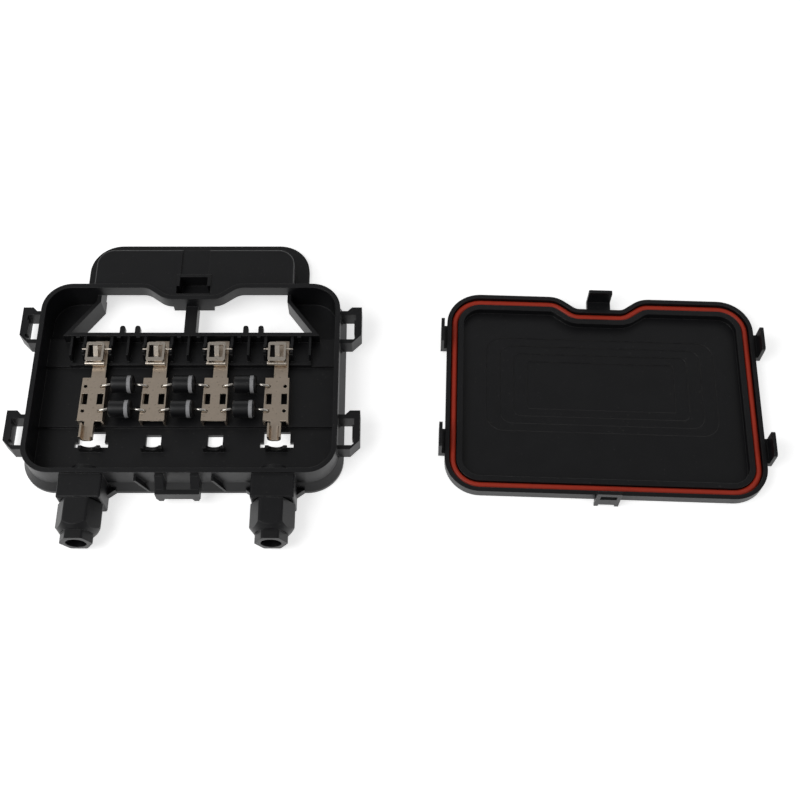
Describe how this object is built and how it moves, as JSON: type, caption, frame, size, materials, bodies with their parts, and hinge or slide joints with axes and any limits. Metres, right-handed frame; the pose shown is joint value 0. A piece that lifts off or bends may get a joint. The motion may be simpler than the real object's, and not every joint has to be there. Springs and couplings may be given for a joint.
{
  "type": "pv junction box",
  "caption": "Rectangular photovoltaic junction box with ribbon window, bypass diodes, spring clamps, two cable glands and a push-on sealed lid laid beside it.",
  "frame": {"origin": "middle of the flat mounting face under the box, where its seal line's centre lies", "axes": "+Z away from the solar panel, +Y from the cable glands to the ribbon window, +X towards the lid laid beside the box"},
  "size_m": [0.3136, 0.1427, 0.0165],
  "materials": {
    "housing_plastic": "fine moulded texture, black",
    "lid_plastic": "fine moulded texture, black",
    "nut_plastic": "smooth moulded, black",
    "ring_plastic": "smooth moulded, black",
    "contact_metal": "tin-plated copper sheet, satin",
    "spring_metal": "stainless spring strip, satin",
    "diode_body": "moulded epoxy, black",
    "seal_rubber": "silicone, red",
    "sleeve_rubber": "soft rubber, black"
  },
  "bodies": {
    "box": {"base_housing": "housing_plastic", "contact_plate_1": "contact_metal", "contact_plate_2": "contact_metal", "contact_plate_3": "contact_metal", "contact_plate_4": "contact_metal", "diode_1": "diode_body", "diode_2": "diode_body", "diode_3": "diode_body", "diode_4": "diode_body", "diode_5": "diode_body", "diode_6": "diode_body", "gland_sleeve_left": "sleeve_rubber", "gland_sleeve_right": "sleeve_rubber"},
    "lid": {"lid": "lid_plastic", "lid_seal": "seal_rubber"},
    "clamp_1": {"spring_clamp_1": "spring_metal"},
    "clamp_2": {"spring_clamp_2": "spring_metal"},
    "clamp_3": {"spring_clamp_3": "spring_metal"},
    "clamp_4": {"spring_clamp_4": "spring_metal"},
    "ring_left": {"clamp_ring_left": "ring_plastic"},
    "nut_left": {"gland_nut_left": "nut_plastic"},
    "ring_right": {"clamp_ring_right": "ring_plastic"},
    "nut_right": {"gland_nut_right": "nut_plastic"}
  },
  "joints": [
    {"name": "lid_fold", "type": "hinge", "parent": "box", "child": "lid", "pos_m": [0.08634, -0.00151, 0.01045], "axis": [-0.0175, -0.9998, 0], "range_deg": [0, 180]},
    {"name": "clamp_1_tilt", "type": "hinge", "parent": "box", "child": "clamp_1", "pos_m": [-0.0391, 0.0152, 0.0099], "axis": [-1, 0, 0], "range_deg": [0, 8], "stiffness_Nm_per_rad": 0.02},
    {"name": "clamp_2_tilt", "type": "hinge", "parent": "box", "child": "clamp_2", "pos_m": [-0.0137, 0.0152, 0.0099], "axis": [-1, 0, 0], "range_deg": [0, 8], "stiffness_Nm_per_rad": 0.02},
    {"name": "clamp_3_tilt", "type": "hinge", "parent": "box", "child": "clamp_3", "pos_m": [0.0117, 0.0152, 0.0099], "axis": [-1, 0, 0], "range_deg": [0, 8], "stiffness_Nm_per_rad": 0.02},
    {"name": "clamp_4_tilt", "type": "hinge", "parent": "box", "child": "clamp_4", "pos_m": [0.0371, 0.0152, 0.0099], "axis": [-1, 0, 0], "range_deg": [0, 8], "stiffness_Nm_per_rad": 0.02},
    {"name": "ring_left_slide", "type": "slide", "parent": "box", "child": "ring_left", "axis": [0, -1, 0], "range_m": [0, 0.0015]},
    {"name": "nut_left_turn", "type": "hinge", "parent": "ring_left", "child": "nut_left", "pos_m": [-0.038, -0.06, 0.0086], "axis": [0, -1, 0], "range_deg": [0, 360]},
    {"name": "ring_right_slide", "type": "slide", "parent": "box", "child": "ring_right", "axis": [0, -1, 0], "range_m": [0, 0.0015]},
    {"name": "nut_right_turn", "type": "hinge", "parent": "ring_right", "child": "nut_right", "pos_m": [0.038, -0.06, 0.0086], "axis": [0, -1, 0], "range_deg": [0, 360]}
  ],
  "couplings": [
    {"joint": "nut_left_turn", "follows": "ring_left_slide", "rad_per_m": 4188.8},
    {"joint": "nut_right_turn", "follows": "ring_right_slide", "rad_per_m": 4188.8}
  ]
}
